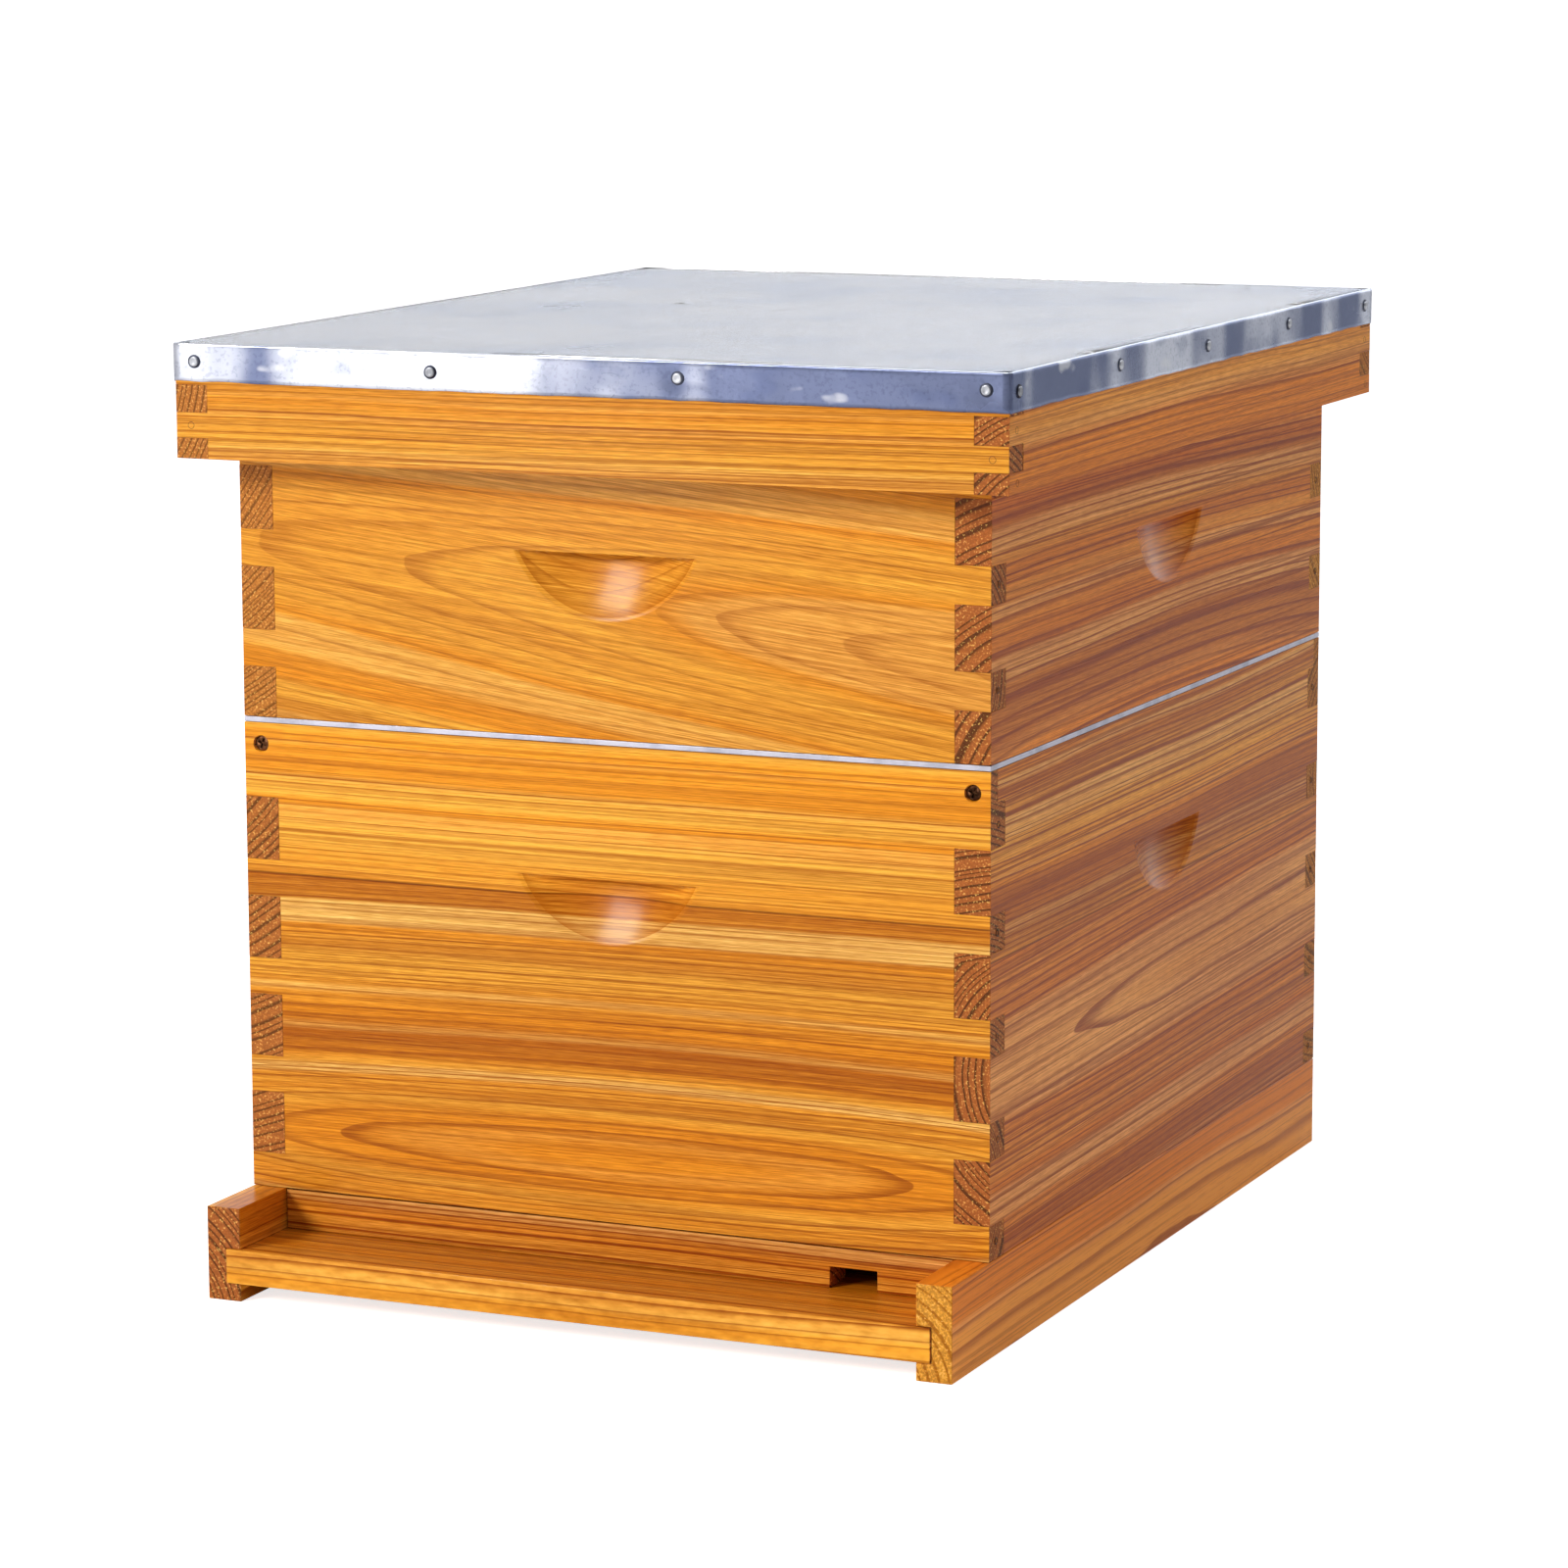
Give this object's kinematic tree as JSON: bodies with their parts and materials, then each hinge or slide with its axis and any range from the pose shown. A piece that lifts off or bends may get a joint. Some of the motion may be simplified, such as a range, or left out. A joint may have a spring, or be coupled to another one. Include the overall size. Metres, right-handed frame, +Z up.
{
  "type": "beehive",
  "caption": "Stacked wooden beehive: floor with landing board, deep box, queen excluder, shallower box, inner cover and a metal-topped telescoping lid.",
  "frame": {"origin": "centre of the bounding box in plan, on the surface the hive stands on", "axes": "+X to the right seen from the entrance, +Y from the entrance to the back, +Z up"},
  "size_m": [0.4544, 0.5796, 0.4906],
  "materials": {
    "cedar": "waxed, satin",
    "pine": "planed, matt",
    "plywood": "sanded, matt",
    "beeswax": "waxy",
    "galvanised": "galvanised, satin",
    "excluder_steel": "zinc plated",
    "steel": "dull"
  },
  "bodies": {
    "base": {"floor_rail_left": "cedar", "floor_rail_right": "cedar", "floor_board_front": "cedar", "floor_board_middle": "cedar", "floor_board_rear": "cedar", "floor_cleat_upper": "cedar", "floor_cleat_lower": "cedar"},
    "entrance_reducer": {"entrance_reducer": "cedar"},
    "brood_box": {"brood_front": "cedar", "brood_back": "cedar", "brood_left": "cedar", "brood_right": "cedar", "brood_corner_screw_1": "steel", "brood_corner_screw_2": "steel", "brood_corner_screw_3": "steel", "brood_corner_screw_4": "steel"},
    "brood_frames": {"brood_frame_01": "pine", "brood_frame_02": "pine", "brood_frame_03": "pine", "brood_frame_04": "pine", "brood_frame_05": "pine", "brood_frame_06": "pine", "brood_frame_07": "pine", "brood_frame_08": "pine", "brood_frame_09": "pine", "brood_frame_10": "pine"},
    "queen_excluder": {"excluder_rim": "excluder_steel", "excluder_grid": "excluder_steel"},
    "super_box": {"super_front": "cedar", "super_back": "cedar", "super_left": "cedar", "super_right": "cedar", "super_corner_screw_1": "steel", "super_corner_screw_2": "steel", "super_corner_screw_3": "steel", "super_corner_screw_4": "steel"},
    "super_frames": {"super_frame_01": "pine", "super_frame_02": "pine", "super_frame_03": "pine", "super_frame_04": "pine", "super_frame_05": "pine", "super_frame_06": "pine", "super_frame_07": "pine", "super_frame_08": "pine", "super_frame_09": "pine", "super_frame_10": "pine"},
    "inner_cover": {"inner_cover_front": "cedar", "inner_cover_back": "cedar", "inner_cover_left": "cedar", "inner_cover_right": "cedar", "inner_cover_panel": "plywood"},
    "outer_cover": {"outer_cover_front": "cedar", "outer_cover_back": "cedar", "outer_cover_left": "cedar", "outer_cover_right": "cedar", "outer_cover_panel": "plywood", "outer_cover_sheet": "galvanised"}
  },
  "joints": [
    {"name": "reducer_pull", "type": "slide", "parent": "base", "child": "entrance_reducer", "axis": [0, -1, 0], "range_m": [0, 0.06]},
    {"name": "brood_box_lift", "type": "slide", "parent": "base", "child": "brood_box", "axis": [0, 0, 1], "range_m": [0, 0.12]},
    {"name": "brood_frames_lift", "type": "slide", "parent": "brood_box", "child": "brood_frames", "axis": [0, 0, 1], "range_m": [0, 0.26]},
    {"name": "excluder_lift", "type": "slide", "parent": "brood_frames", "child": "queen_excluder", "axis": [0, 0, 1], "range_m": [0, 0.08]},
    {"name": "super_box_lift", "type": "slide", "parent": "queen_excluder", "child": "super_box", "axis": [0, 0, 1], "range_m": [0, 0.12]},
    {"name": "super_frames_lift", "type": "slide", "parent": "super_box", "child": "super_frames", "axis": [0, 0, 1], "range_m": [0, 0.18]},
    {"name": "inner_cover_lift", "type": "slide", "parent": "super_frames", "child": "inner_cover", "axis": [0, 0, 1], "range_m": [0, 0.08]},
    {"name": "outer_cover_lift", "type": "slide", "parent": "inner_cover", "child": "outer_cover", "axis": [0, 0, 1], "range_m": [0, 0.12]}
  ]
}
